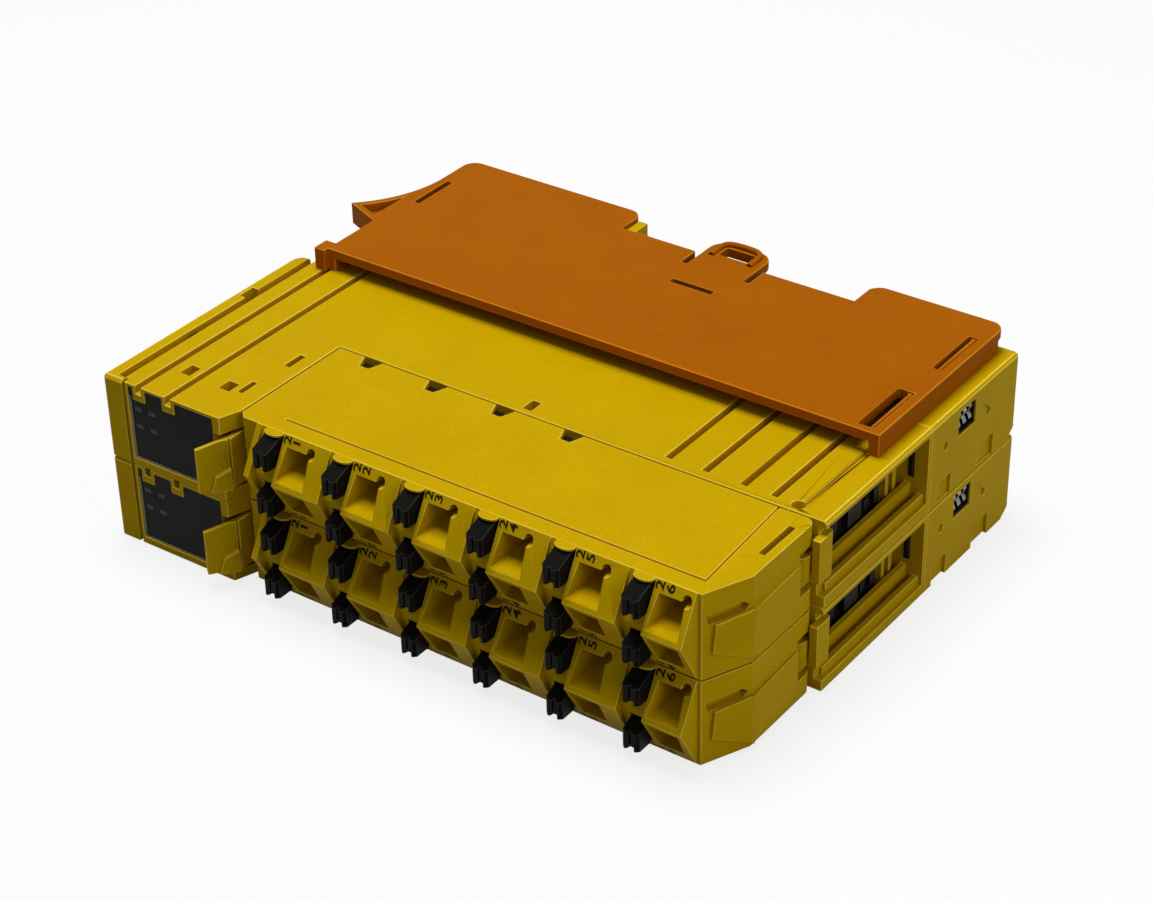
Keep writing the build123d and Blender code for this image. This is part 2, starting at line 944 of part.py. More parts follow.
        # Ear that carries the lock lever
        with BuildSketch(Plane.XY.offset(base + lock_fork_bottom + ear_gap)):
            with Locations((lock_pin_x, lock_pin_y)):
                Circle(lock_boss_radius)
            with Locations(((lock_pin_x + block_left) / 2, lock_pin_y)):
                Rectangle(block_left - lock_pin_x, 2 * lock_boss_radius)
            with Locations((lock_pin_x, lock_pin_y)):
                Circle(lock_pin_radius + lock_pin_clearance, mode=Mode.SUBTRACT)
        extrude(amount=lock_fork_top - lock_fork_bottom - 2 * ear_gap)
    terminal_block.part.label = f"{level}_terminal_block"
    export_step(terminal_block.part, f"parts/{level}_terminal_block.step")

    # Clamp springs, one bent strip in each pocket
    with BuildPart() as clamps:
        for index in range(group_count):
            strip_x = group_left(index) + funnel_centre - pocket_width / 2
            for pocket_bottom in pocket_rows():
                prism(
                    (
                        (strip_x, clamp_back),
                        (strip_x, clamp_front),
                        (strip_x + clamp_thickness, clamp_front),
                        (strip_x + clamp_leg_reach, clamp_leg_back - clamp_thickness),
                        (strip_x + clamp_leg_reach, clamp_leg_back),
                        (strip_x + clamp_thickness, clamp_front + 2 * clamp_thickness),
                        (strip_x + clamp_thickness, clamp_back),
                    ),
                    base + pocket_bottom + (pocket_height - clamp_height) / 2,
                    base + pocket_bottom + (pocket_height + clamp_height) / 2,
                )
    clamps.part.label = f"{level}_clamp_springs"
    export_step(clamps.part, f"parts/{level}_clamp_springs.step")

    # Terminal lock lever: a fork on its pin, an arm in the gap and the bent tongue
    with BuildPart() as lock_lever:
        with BuildSketch(Plane.XY.offset(base + lock_bottom)):
            with Locations((lock_pin_x, lock_pin_y)):
                Circle(lock_boss_radius)
            with Locations((lock_pin_x, (lock_pin_y + lock_bend_y) / 2)):
                Rectangle(2 * lock_arm_half, lock_pin_y - lock_bend_y)
            with BuildLine():
                tongue = Line((lock_pin_x, lock_bend_y), (lock_tip_x, lock_tip_y))
            trace(tongue, line_width=2 * lock_arm_half)
        extrude(amount=lock_top - lock_bottom)
        box(
            (lock_pocket_left, block_left),
            (lock_fork_front, lock_pin_y + 2 * lock_boss_radius),
            (base + lock_fork_bottom, base + lock_fork_top),
            Mode.SUBTRACT,
        )
        with BuildSketch(Plane.XY.offset(base + lock_bottom)):
            with Locations((lock_pin_x, lock_pin_y)):
                Circle(lock_pin_radius)
        extrude(amount=lock_top - lock_bottom)
        # Thumb wedge on the tongue's face
        face_prism(
            tongue_plane.offset(lock_arm_half),
            [(run, base + height) for run, height in wedge_outline],
            wedge_rise,
        )
        # Sloped upper edge of the tongue
        with BuildSketch(Plane.XZ.offset(-lock_bend_y)):
            with BuildLine():
                Polyline(
                    (lock_pin_x - lock_arm_half, base + lock_top),
                    (lock_tip_x - 2 * lock_arm_half, base + lock_top - lock_tip_drop),
                    (lock_tip_x - 2 * lock_arm_half, base + lock_top),
                    close=True,
                )
            make_face()
        extrude(amount=lock_bend_y - lock_tip_y + 2 * lock_arm_half, mode=Mode.SUBTRACT)
    lock_lever.part.label = f"{level}_terminal_lock_lever"
    export_step(lock_lever.part, f"parts/{level}_terminal_lock_lever.step")

    # Wire release levers, one above each funnel
    for index in range(group_count):
        for row, lever_bottom in zip(("a", "b"), lever_bottoms):
            left = group_left(index) + lever_start
            foot = base + lever_bottom
            with BuildPart() as lever:
                cross_prism(
                    (
                        (lever_tip, foot),
                        (lever_tip, foot + lever_height - lever_shoulder),
                        (lever_crest_y, foot + lever_height),
                        (lever_inner, foot + lever_height),
                        (lever_inner, foot + lever_root),
                        (lever_root_y, foot + lever_root),
                        (lever_root_y, foot),
                    ),
                    left,
                    left + lever_width,
                )
                chamfer(
                    lever.edges().filter_by(Axis.Z).group_by(Axis.Y)[0], lever_chamfer
                )
                box(
                    (
                        left + (lever_width - lever_ridge_gap) / 2,
                        left + (lever_width + lever_ridge_gap) / 2,
                    ),
                    (lever_tip, lever_tip + lever_ridge_depth),
                    (foot, foot + lever_height),
                    Mode.SUBTRACT,
                )
                prism(
                    (
                        (left + (lever_width - lever_notch_width) / 2, lever_tip),
                        (left + (lever_width + lever_notch_width) / 2, lever_tip),
                        (left + lever_width / 2, lever_tip + lever_notch_reach),
                    ),
                    foot,
                    foot + lever_notch_depth,
                    Mode.SUBTRACT,
                )
            lever.part.label = f"{level}_release_lever_{row}{index + 1}"
            export_step(lever.part, f"parts/{level}_release_lever_{row}{index + 1}.step")

    # Bus module with the mounting rail notch
    with BuildPart() as bus_module:
        prism(
            (
                (body_left, bus_face),
                (end_right, bus_face),
                (end_right, back_face),
                (notch_right, back_face),
                (notch_right, notch_floor),
                (notch_left, notch_floor),
                (notch_left, back_face),
                (body_left, back_face),
            ),
            base,
            roof,
        )
        # Relief along the notch floor under the lock bar's nose
        box(
            (notch_left, notch_left + bar_relief_width),
            (notch_floor - bar_relief_depth, notch_floor),
            (base, roof),
            Mode.SUBTRACT,
        )
        for corner_x, radius in (
            (notch_left, notch_radius),
            (notch_right, notch_radius),
            (end_right, back_corner_radius),
            (body_left, back_corner_radius),
        ):
            corners = bus_module.edges().filter_by(Axis.Z)
            corner = corners.sort_by_distance((corner_x, back_face, base))[0]
            fillet(corner, radius)
        roof_edges = bus_module.edges().filter_by(Axis.Y).group_by(Axis.Z)[-1]
        chamfer(roof_edges.group_by(Axis.X)[-1], edge_chamfer)
        cross_prism(
            (
                (back_face - foot_chamfer_y, base),
                (back_face, base),
                (back_face, base + foot_chamfer_height),
            ),
            notch_right,
            end_right,
            Mode.SUBTRACT,
        )
        for recess_front, recess_length, recess_height in end_recesses:
            box(
                (end_right - end_recess_depth, end_right),
                (recess_front, recess_front + recess_length),
                (base, base + recess_height),
                Mode.SUBTRACT,
            )
        box(
            (end_right - contact_window_depth, end_right),
            (contact_window_front, contact_window_front + contact_window_length),
            (
                base + contact_window_bottom,
                base + contact_window_bottom + contact_window_height,
            ),
            Mode.SUBTRACT,
        )
        box(
            (body_left, notch_left),
            (bar_y - bar_clearance, bar_y + bar_depth + bar_clearance),
            (base + bar_bottom - bar_clearance, base + bar_bottom + bar_height + bar_clearance),
            Mode.SUBTRACT,
        )
        with BuildSketch(Plane.YZ.offset(end_right)):
            for dimple_y, dimple_z in dimple_places:
                with Locations((dimple_y, base + dimple_z)):
                    Circle(dimple_radius)
        extrude(amount=-dimple_depth, mode=Mode.SUBTRACT)
        if level == "upper":
            box(
                (notch_left - stop_post_width, notch_left),
                (notch_floor, back_face - notch_radius),
                (roof, stop_post_top),
            )
    bus_module.part.label = f"{level}_bus_module"
    export_step(bus_module.part, f"parts/{level}_bus_module.step")

    # Spring contacts in the side window of the bus module
    with BuildPart() as bus_contacts:
        for index in range(bus_contact_count):
            contact_y = contact_window_front + contact_window_length / 2
            contact_y += (index - (bus_contact_count - 1) / 2) * bus_contact_pitch
            contact_foot = base + contact_window_bottom
            contact_root = end_right - contact_window_depth
            contact_tip = end_right - bus_contact_thickness
            with BuildSketch(
                Plane.XZ.offset(-contact_y - bus_contact_thickness / 2)
            ):
                with BuildLine():
                    Polyline(
                        (contact_root, contact_foot),
                        (contact_root + bus_contact_base, contact_foot),
                        (contact_tip, contact_foot + bus_contact_rise),
                        (contact_tip - bus_contact_thickness, contact_foot + bus_contact_top),
                        (contact_root + bus_contact_thickness, contact_foot + bus_contact_root),
                        (contact_root, contact_foot + bus_contact_root),
                        close=True,
                    )
                make_face()
            extrude(amount=bus_contact_thickness)
    bus_contacts.part.label = f"{level}_bus_contacts"
    export_step(bus_contacts.part, f"parts/{level}_bus_contacts.step")

    # Rail lock bar, sliding in the bus module, with its handle outside
    with BuildPart() as lock_bar:
        box(
            (bar_handle_left, notch_left + bar_nose),
            (bar_y, bar_y + bar_depth),
            (base + bar_bottom, base + bar_bottom + bar_height),
        )
        box(
            (bar_handle_left, body_left - bar_handle_gap),
            (bar_handle_front, bar_handle_back),
            (base + bar_handle_bottom, base + bar_handle_bottom + bar_handle_height),
        )
        box(
            (bar_handle_left, bar_handle_left + bar_slot_width),
            (
                bar_y + bar_depth / 2 - bar_slot_length / 2,
                bar_y + bar_depth / 2 + bar_slot_length / 2,
            ),
            (base + bar_handle_bottom, base + bar_handle_bottom + bar_handle_height),
            Mode.SUBTRACT,
        )
    lock_bar.part.label = f"{level}_rail_lock_bar"
    export_step(lock_bar.part, f"parts/{level}_rail_lock_bar.step")

# Locking plate clipped over the upper bus module
with BuildPart() as plate:
    with BuildSketch(Plane.XY.offset(plate_bottom)):
        with BuildLine():
            Polyline(
                (plate_left, plate_front),
                (plate_right, plate_front),
                (plate_right, plate_back),
                (plate_notch_right, plate_back),
                (plate_notch_right, notch_floor),
                (plate_notch_left, notch_floor),
                (plate_notch_left, plate_back),
                (plate_left, plate_back),
                close=True,
            )
        make_face()
        back_corners = vertices().group_by(Axis.Y)[-1]
        fillet(back_corners, plate_corner_radius)
        # Pull tab with its loop, cut free by two slits
        with Locations(((tab_left + tab_right) / 2, (tab_slit_front + tab_loop_back) / 2)):
            RectangleRounded(
                tab_right - tab_left, tab_loop_back - tab_slit_front, tab_loop_radius
            )
        with Locations(((tab_left + tab_right) / 2, tab_window_centre_y)):
            Rectangle(tab_window_width, tab_window_length, mode=Mode.SUBTRACT)
        for slit_x in (tab_left - tab_slit_width / 2, tab_right + tab_slit_width / 2):
            with Locations((slit_x, (tab_slit_front + notch_floor) / 2)):
                Rectangle(tab_slit_width, notch_floor - tab_slit_front, mode=Mode.SUBTRACT)
        with Locations(((tab_left + tab_right) / 2 - tab_slit_width / 2, bridge_slit_y)):
            Rectangle(bridge_slit_length, tab_slit_width, mode=Mode.SUBTRACT)
        # Side slots beside the right wall, and the slot beside the wing
        for slot_front, slot_length, slot_width in plate_slots:
            slot_right = plate_right - plate_side_wall + plate_slot_inner
            with Locations((slot_right - slot_width / 2, slot_front + slot_length / 2)):
                Rectangle(slot_width, slot_length, mode=Mode.SUBTRACT)
        with Locations((wing_slot_x, wing_slot_front + wing_slot_length / 2)):
            Rectangle(wing_slot_width, wing_slot_length, mode=Mode.SUBTRACT)
    extrude(amount=plate_top - plate_bottom)
    # Ridge standing in each side slot
    for slot_front, slot_length, slot_width in plate_slots:
        ridge_right = plate_right - plate_side_wall + plate_slot_inner - plate_ridge_gap
        box(
            (ridge_right - plate_ridge_width, ridge_right),
            (slot_front, slot_front + slot_length),
            (plate_bottom, plate_top - plate_ridge_drop),
        )
    # Feet: right wall, left wall, back walls and the front hook
    box(
        (plate_right - plate_side_wall, plate_right),
        (plate_front, plate_back - plate_corner_radius),
        (stack_top, plate_bottom),
    )
    box(
        (plate_left, plate_left + plate_left_wall),
        (plate_front, plate_back - plate_corner_radius),
        (stack_top, plate_bottom),
    )
    for wall_left, wall_right in (
        (plate_left + plate_corner_radius, plate_notch_left - plate_corner_radius),
        (plate_notch_right + plate_corner_radius, plate_right - plate_corner_radius),
    ):
        box(
            (wall_left, wall_right),
            (plate_back - plate_back_wall, plate_back),
            (stack_top, plate_bottom),
        )
    box(
        (plate_left - plate_hook_width, plate_left),
        (plate_front - plate_hook_overhang, plate_front - plate_hook_overhang + plate_hook_length),
        (stack_top, plate_top),
    )
    # Curved wing at the left side, with its recess
    with BuildSketch(Plane.XY.offset(stack_top)):
        with BuildLine():
            wing_front = Line((plate_left, wing_front_y), (wing_tip_x, wing_tip_y))
            wing_curve = RadiusArc(wing_front @ 1, (plate_left, wing_back_y), wing_radius)
            Line(wing_curve @ 1, wing_front @ 0)
        make_face()
    extrude(amount=plate_top - stack_top)
    with BuildSketch(Plane.XY.offset(plate_top)):
        with BuildLine():
            rim_front = Line((plate_left, wing_front_y), (wing_tip_x, wing_tip_y))
            rim_curve = RadiusArc(rim_front @ 1, (plate_left, wing_back_y), wing_radius)
            Line(rim_curve @ 1, rim_front @ 0)
        make_face()
        offset(amount=-wing_rim)
    extrude(amount=-wing_recess_depth, mode=Mode.SUBTRACT)
plate.part.label = "locking_plate"
export_step(plate.part, "parts/locking_plate.step")
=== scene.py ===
"""Looks, lights and camera for the flat safety controller module, in metres in the solids' frame."""

import math

import bmesh
import bpy
from mathutils import Matrix, Vector


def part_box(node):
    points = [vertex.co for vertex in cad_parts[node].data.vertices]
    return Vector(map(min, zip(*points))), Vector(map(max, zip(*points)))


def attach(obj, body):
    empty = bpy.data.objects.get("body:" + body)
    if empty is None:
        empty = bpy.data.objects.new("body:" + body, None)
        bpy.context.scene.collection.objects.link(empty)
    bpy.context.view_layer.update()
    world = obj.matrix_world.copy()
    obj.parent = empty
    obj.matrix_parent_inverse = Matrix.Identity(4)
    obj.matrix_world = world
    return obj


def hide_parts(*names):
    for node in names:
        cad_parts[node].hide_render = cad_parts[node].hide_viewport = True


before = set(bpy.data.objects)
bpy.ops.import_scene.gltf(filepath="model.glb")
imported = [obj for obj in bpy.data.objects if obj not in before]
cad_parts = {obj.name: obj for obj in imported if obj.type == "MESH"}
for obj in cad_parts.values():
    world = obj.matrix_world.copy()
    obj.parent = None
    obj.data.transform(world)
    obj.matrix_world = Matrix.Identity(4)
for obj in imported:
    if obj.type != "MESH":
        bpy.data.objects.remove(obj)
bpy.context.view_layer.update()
MM = 0.001
SLICE_PITCH = 12.5
LEVELS = (("lower", 0.0), ("upper", SLICE_PITCH))


def srgb(red, green, blue):
    """Linear colour of an 8-bit screen colour."""
    out = []
    for value in (red, green, blue):
        share = value / 255
        out.append(share / 12.92 if share <= 0.04045 else ((share + 0.055) / 1.055) ** 2.4)
    return (*out, 1.0)


# Materials

# Colour sockets of a mix node: first, second and result
MIX_FIRST, MIX_SECOND, MIX_RESULT = 6, 7, 2

# How dark the specks of the grain are, how far the grain varies the roughness,
# and how strong the scuffs are
SPECK_SHADE = 0.8
PLASTIC_ROUGHNESS_SPREAD = 0.07
SCUFF = 0.12
# Pointiness at which the painted highlight on an outer edge starts, and where it is full
HIGHLIGHT_START, HIGHLIGHT_FULL = 0.5, 0.53
# Strength of the painted highlight on the outer edges
PAINTED_HIGHLIGHT = 0.75
# Depths of the bumps, in millimetres
GRAIN_DEPTH, SWELL_DEPTH, DRAWN_DEPTH = 0.02, 0.05, 0.01


def graph(name):
    """An empty node material, its tree and its node maker."""
    material = bpy.data.materials.new(name)
    material.use_nodes = True
    tree = material.node_tree
    tree.nodes.clear()

    def node(kind, **inputs):
        made = tree.nodes.new(kind)
        for key, value in inputs.items():
            key = key.replace("_", " ")
            if hasattr(value, "is_output"):
                tree.links.new(value, made.inputs[key])
            else:
                made.inputs[key].default_value = value
        return made

    return material, tree, node


def finish_graph(tree, node, shader):
    """Joins a shader to the material's output."""
    output = node("ShaderNodeOutputMaterial")
    tree.links.new(shader.outputs[0], output.inputs["Surface"])


def blend_colours(tree, factor, first, second):
    """Colour between two colours by a factor socket."""
    mix = tree.nodes.new("ShaderNodeMix")
    mix.data_type = "RGBA"
    tree.links.new(factor, mix.inputs[0])
    for place, value in ((MIX_FIRST, first), (MIX_SECOND, second)):
        if hasattr(value, "is_output"):
            tree.links.new(value, mix.inputs[place])
        else:
            mix.inputs[place].default_value = value
    return mix.outputs[MIX_RESULT]


def ramp(node, source, low, high):
    """Source socket squeezed from low..high to 0..1."""
    made = node("ShaderNodeMapRange", Value=source, From_Min=low, From_Max=high)
    return made.outputs["Result"]


def multiply(tree, first, second):
    """Product of a socket and a socket or number."""
    made = tree.nodes.new("ShaderNodeMath")
    made.operation = "MULTIPLY"
    tree.links.new(first, made.inputs[0])
    if hasattr(second, "is_output"):
        tree.links.new(second, made.inputs[1])
    else:
        made.inputs[1].default_value = second
    return made.outputs[0]


def plastic(
    name, colour, shade, scuff_and_highlight, rough=0.55, grain=0.22, grain_mm=0.22, specular=0.08, painted_highlight=0.0,
):
    """Moulded plastic: fine grain, cloudy tone, faint scuffs, and a painted highlight that makes
    outer edges paler.
    """
    material, tree, node = graph(name)
    place = node("ShaderNodeTexCoord").outputs["Object"]
    cloud = node("ShaderNodeTexNoise", Vector=place, Scale=90.0, Detail=4.0, Roughness=0.6)
    grain_scale = 1 / (grain_mm * MM)
    fine = node(
        "ShaderNodeTexNoise", Vector=place, Scale=grain_scale, Detail=3.0, Roughness=0.65,
    )
    tone = ramp(node, cloud.outputs["Fac"], 0.3, 0.72)
    body = blend_colours(tree, tone, shade, colour)
    speck = ramp(node, fine.outputs["Fac"], 0.25, 0.8)
    speck_colour = [share * SPECK_SHADE for share in shade[:3]] + [1.0]
    speckled = blend_colours(tree, speck, speck_colour, body)
    slide = node(
        "ShaderNodeMapping", Vector=place, Rotation=(0.2, 0.1, 0.5), Scale=(60.0, 900.0, 900.0),
    )
    scratch = node(
        "ShaderNodeTexNoise", Vector=slide.outputs[0], Scale=1.0, Detail=3.0, Roughness=0.55,
    )
    where = node("ShaderNodeTexNoise", Vector=place, Scale=34.0, Detail=2.0)
    lines = ramp(node, scratch.outputs["Fac"], 0.64, 0.72)
    patches = ramp(node, where.outputs["Fac"], 0.5, 0.66)
    marks = multiply(tree, multiply(tree, lines, patches), SCUFF)
    final = blend_colours(tree, marks, speckled, scuff_and_highlight)
    # Painted highlight: outer edges blended towards the pale colour
    if painted_highlight:
        pointiness = node("ShaderNodeNewGeometry").outputs["Pointiness"]
        outer = ramp(node, pointiness, HIGHLIGHT_START, HIGHLIGHT_FULL)
        final = blend_colours(tree, multiply(tree, outer, painted_highlight), final, scuff_and_highlight)
    sheen = node(
        "ShaderNodeMapRange",
        Value=fine.outputs["Fac"],
        To_Min=rough - PLASTIC_ROUGHNESS_SPREAD,
        To_Max=rough + PLASTIC_ROUGHNESS_SPREAD,
    )
    bump = node(
        "ShaderNodeBump", Strength=grain, Distance=GRAIN_DEPTH * MM, Height=fine.outputs["Fac"],
    )
    swell = node(
        "ShaderNodeBump",
        Strength=0.05,
        Distance=SWELL_DEPTH * MM,
        Height=cloud.outputs["Fac"],
        Normal=bump.outputs[0],
    )
    shader = node(
        "ShaderNodeBsdfPrincipled",
        Base_Color=final,
        Roughness=sheen.outputs["Result"],
        Normal=swell.outputs[0],
    )
    shader.inputs["Specular IOR Level"].default_value = specular
    shader.inputs["Specular Tint"].default_value = colour
    finish_graph(tree, node, shader)
    return material


def metal(name, colour, dark, rough):
    """Rolled strip metal: fine drawn lines and slight tarnish."""
    material, tree, node = graph(name)
    place = node("ShaderNodeTexCoord").outputs["Object"]
    drawn = node("ShaderNodeMapping", Vector=place, Scale=(40.0, 900.0, 900.0))
    lines = node(
        "ShaderNodeTexNoise", Vector=drawn.outputs[0], Scale=12.0, Detail=5.0, Roughness=0.7,
    )
    stain = node("ShaderNodeTexNoise", Vector=place, Scale=380.0, Detail=3.0)
    tone = ramp(node, stain.outputs["Fac"], 0.3, 0.75)
    body = blend_colours(tree, tone, dark, colour)
    sheen = node(
        "ShaderNodeMapRange",
        Value=lines.outputs["Fac"],
        To_Min=rough - 0.08,
        To_Max=rough + 0.14,
    )
    bump = node(
        "ShaderNodeBump", Strength=0.2, Distance=DRAWN_DEPTH * MM, Height=lines.outputs["Fac"],
    )
    shader = node(
        "ShaderNodeBsdfPrincipled",
        Base_Color=body,
        Roughness=sheen.outputs["Result"],
        Normal=bump.outputs[0],
        Metallic=1.0,
    )
    finish_graph(tree, node, shader)
    return material


# The pale colour of each plastic serves both the scuffs and the painted highlight on its edges
PLASTICS = {
    "yellow": dict(
        colour=srgb(213, 176, 2), shade=srgb(200, 162, 1), scuff_and_highlight=srgb(240, 212, 78),
        specular=0.04,
    ),
    "orange": dict(
        colour=srgb(181, 102, 2), shade=srgb(167, 90, 1), scuff_and_highlight=srgb(212, 136, 36),
        rough=0.55, specular=0.03,
    ),
    "black": dict(
        colour=srgb(24, 23, 20), shade=srgb(16, 16, 14), scuff_and_highlight=srgb(62, 60, 56),
        rough=0.45, grain=0.16,
    ),
    "panel": dict(
        colour=srgb(26, 26, 24), shade=srgb(20, 20, 19), scuff_and_highlight=srgb(52, 52, 50),
        rough=0.42, grain=0.12, grain_mm=0.12,
    ),
    "smoked": dict(
        colour=srgb(60, 60, 62), shade=srgb(44, 44, 46), scuff_and_highlight=srgb(90, 90, 92),
        rough=0.2, grain=0.04, specular=0.4,
    ),
    "clear_edge": dict(
        colour=srgb(148, 142, 122), shade=srgb(124, 118, 100), scuff_and_highlight=srgb(176, 172, 154),
        rough=0.3, grain=0.05, specular=0.3,
    ),
    "board": dict(
        colour=srgb(30, 78, 52), shade=srgb(22, 62, 40), scuff_and_highlight=srgb(60, 110, 80),
        rough=0.3, grain=0.1, grain_mm=0.5, specular=0.4,
    ),
    "component": dict(
        colour=srgb(34, 31, 26), shade=srgb(25, 23, 19), scuff_and_highlight=srgb(72, 68, 60),
        rough=0.5, grain=0.2, specular=0.2,
    ),
    "ink": dict(
        colour=srgb(52, 40, 22), shade=srgb(44, 33, 18), scuff_and_highlight=srgb(60, 50, 30),
        rough=0.6, grain=0.1,
    ),
}
face = {name: plastic(f"{name}_plastic", **look) for name, look in PLASTICS.items()}
# Plastics with the painted highlight, for the rounded edges
edge = {
    name: plastic(f"{name}_plastic_highlit_edges", painted_highlight=PAINTED_HIGHLIGHT, **look) for name, look in PLASTICS.items()
}
face["steel"] = edge["steel"] = metal(
    "spring_steel", srgb(158, 154, 146), srgb(112, 108, 100), 0.34,
)
face["brass"] = edge["brass"] = metal(
    "tinned_brass", srgb(205, 190, 150), srgb(170, 150, 105), 0.28,
)

FINISH = (
    ("release_lever", "black"),
    ("rail_lock_bar", "black"),
    ("status_panel", "panel"),
    ("light_guide", "smoked"),
    ("circuit_board", "board"),
    ("board_components", "component"),
    ("clamp_springs", "steel"),
    ("bus_contacts", "steel"),
    ("contact_pins", "brass"),
    ("locking_plate", "orange"),
)
ROUNDING = {
    "locking_plate": 0.16,
    "release_lever": 0.08,
    "status_panel": 0.1,
    "terminal_block": 0.09,
}
PLAIN_ROUNDING = 0.12
WELD_DISTANCE = 0.001
SHARP_EDGE = math.radians(28.0)
EDGE_SLOT = 1


def finish_of(name):
    """Finish of a node, by its name."""
    for part, material in FINISH:
        if part in name:
            return material
    return "yellow"


def rounding_of(name):
    """Radius of a node's rounded edges, in millimetres, by its name."""
    for part, radius in ROUNDING.items():
        if part in name:
            return radius
    return PLAIN_ROUNDING


def dress(piece, finish, radius_mm):
    """Gives a piece its finish, and rounds its sharp edges, which get the finish with the painted
    highlight.
    """
    piece.data.materials.clear()
    piece.data.materials.append(face[finish])
    piece.data.materials.append(edge[finish])
    weld = piece.modifiers.new("weld", "WELD")
    weld.merge_threshold = WELD_DISTANCE * MM
    bevel = piece.modifiers.new("rounding", "BEVEL")
    bevel.width = radius_mm * MM
    bevel.segments = 2
    bevel.limit_method = "ANGLE"
    bevel.angle_limit = SHARP_EDGE
    bevel.use_clamp_overlap = False
    bevel.harden_normals = True
    bevel.material = EDGE_SLOT


for name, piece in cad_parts.items():
    dress(piece, finish_of(name), rounding_of(name))


# Terminal numbers, each with its two digits one after the other along the row

TERMINALS = 6
NOSE_LEFT = -23.2
GROUP_PITCH = 11.2
BLOCK_FRONT = -31.7
NOSE_REACH = 3.4
BLOCK_BOTTOM = 0.1
BLOCK_TOP = 12.3
DIGIT_HEIGHT = 1.15
DIGIT_STRETCH = 1.4
LINE_STEP = 1.45
DIGIT_RELIEF = 0.01
DIGIT_WEIGHT = 0.03
# Height of a digit as a share of its font size
CAP_HEIGHT = 0.72
# Middle of a number: from the left of its terminal, down the slope, and off its face
NUMBER_PLACE = 6.15
NUMBER_RUN = 0.68
NUMBER_LIFT = 0.02


def number(name, body, text, centre, up_slope, normal):
    """Small printed label lying on a sloped face."""
    curve = bpy.data.curves.new(name, "FONT")
    curve.body = text
    curve.size = DIGIT_HEIGHT / CAP_HEIGHT * MM
    curve.space_line = LINE_STEP * CAP_HEIGHT / DIGIT_HEIGHT
    curve.align_x = "CENTER"
    curve.align_y = "CENTER"
    curve.extrude = DIGIT_RELIEF * MM
    curve.offset = DIGIT_WEIGHT * MM
    piece = bpy.data.objects.new(name, curve)
    bpy.context.scene.collection.objects.link(piece)
    across = Vector((-1, 0, 0))
    axes = Matrix((up_slope, across, normal)).transposed().to_4x4()
    wide = Matrix.Diagonal((DIGIT_STRETCH, 1, 1, 1))
    piece.matrix_world = Matrix.Translation(Vector(centre) * MM) @ axes @ wide
    curve.materials.append(face["ink"])
    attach(piece, body)


half_height = (BLOCK_TOP - BLOCK_BOTTOM) / 2
slant = Vector((0, NOSE_REACH, half_height)).normalized()
number_y = BLOCK_FRONT - NUMBER_RUN * slant.y - NUMBER_LIFT
number_drop = NUMBER_RUN * slant.z - NUMBER_LIFT
for level, base in LEVELS:
    for index in range(TERMINALS):
        x = NOSE_LEFT + GROUP_PITCH * index + NUMBER_PLACE
        number(
            f"{level}_number_2{index + 1}",
            f"{level}_block",
            f"2\n{index + 1}",
            (x, number_y, base + BLOCK_TOP - number_drop),
            slant,
            Vector((0, -slant.z, slant.y)),
        )
        number(
            f"{level}_number_1{index + 1}",
            f"{level}_block",
            f"1\n{index + 1}",
            (x, number_y, base + BLOCK_BOTTOM + number_drop),
            Vector((0, -slant.y, slant.z)),
            Vector((0, -slant.z, -slant.y)),
        )


# Small parts that the solids leave plain

def add_block(mesh, low, high):
    """Adds a box between two corners, in millimetres, to a mesh being built."""
    made = bmesh.ops.create_cube(mesh, size=1.0)
    middle = (Vector(low) + Vector(high)) / 2
    size = Vector(high) - Vector(low)
    for vertex in made["verts"]:
        vertex.co = Vector([(middle[k] + vertex.co[k] * size[k]) * MM for k in range(3)])


def add_strip(mesh, path, y_low, y_high, thickness):
    """Adds a bent strip that follows (x, z) points, in millimetres, between two limits of y."""
    rings = []
    for index, (x, z) in enumerate(path):
        before = path[max(index - 1, 0)]
        after = path[min(index + 1, len(path) - 1)]
        run = Vector((after[0] - before[0], after[1] - before[1])).normalized()
        side = Vector((-run.y, run.x)) * thickness / 2
        ring = []
        for sign, y in ((1, y_low), (1, y_high), (-1, y_high), (-1, y_low)):
            place = Vector((x + sign * side.x, y, z + sign * side.y))
            ring.append(mesh.verts.new(place * MM))
        rings.append(ring)
    for first, second in zip(rings, rings[1:]):
        for k in range(4):
            after = (k + 1) % 4
            mesh.faces.new((first[k], first[after], second[after], second[k]))
    mesh.faces.new(rings[0][::-1])
    mesh.faces.new(rings[-1])


def add_plate(mesh, outline, z_low, z_high):
    """Adds a flat plate over (x, y) points, in millimetres, between two heights."""
    low = [mesh.verts.new(Vector((x, y, z_low)) * MM) for x, y in outline]
    high = [mesh.verts.new(Vector((x, y, z_high)) * MM) for x, y in outline]
    mesh.faces.new(low[::-1])
    mesh.faces.new(high)
    for k in range(len(outline)):
        after = (k + 1) % len(outline)
        mesh.faces.new((low[k], low[after], high[after], high[k]))


def mesh_piece(name, body, mesh, finish, radius_mm):
    """Turns a built mesh into a rounded piece that rides on a body."""
    bmesh.ops.recalc_face_normals(mesh, faces=mesh.faces)
    data = bpy.data.meshes.new(name)
    mesh.to_mesh(data)
    mesh.free()
    piece = bpy.data.objects.new(name, data)
    bpy.context.scene.collection.objects.link(piece)
    dress(piece, finish, radius_mm)
    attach(piece, body)
    return piece


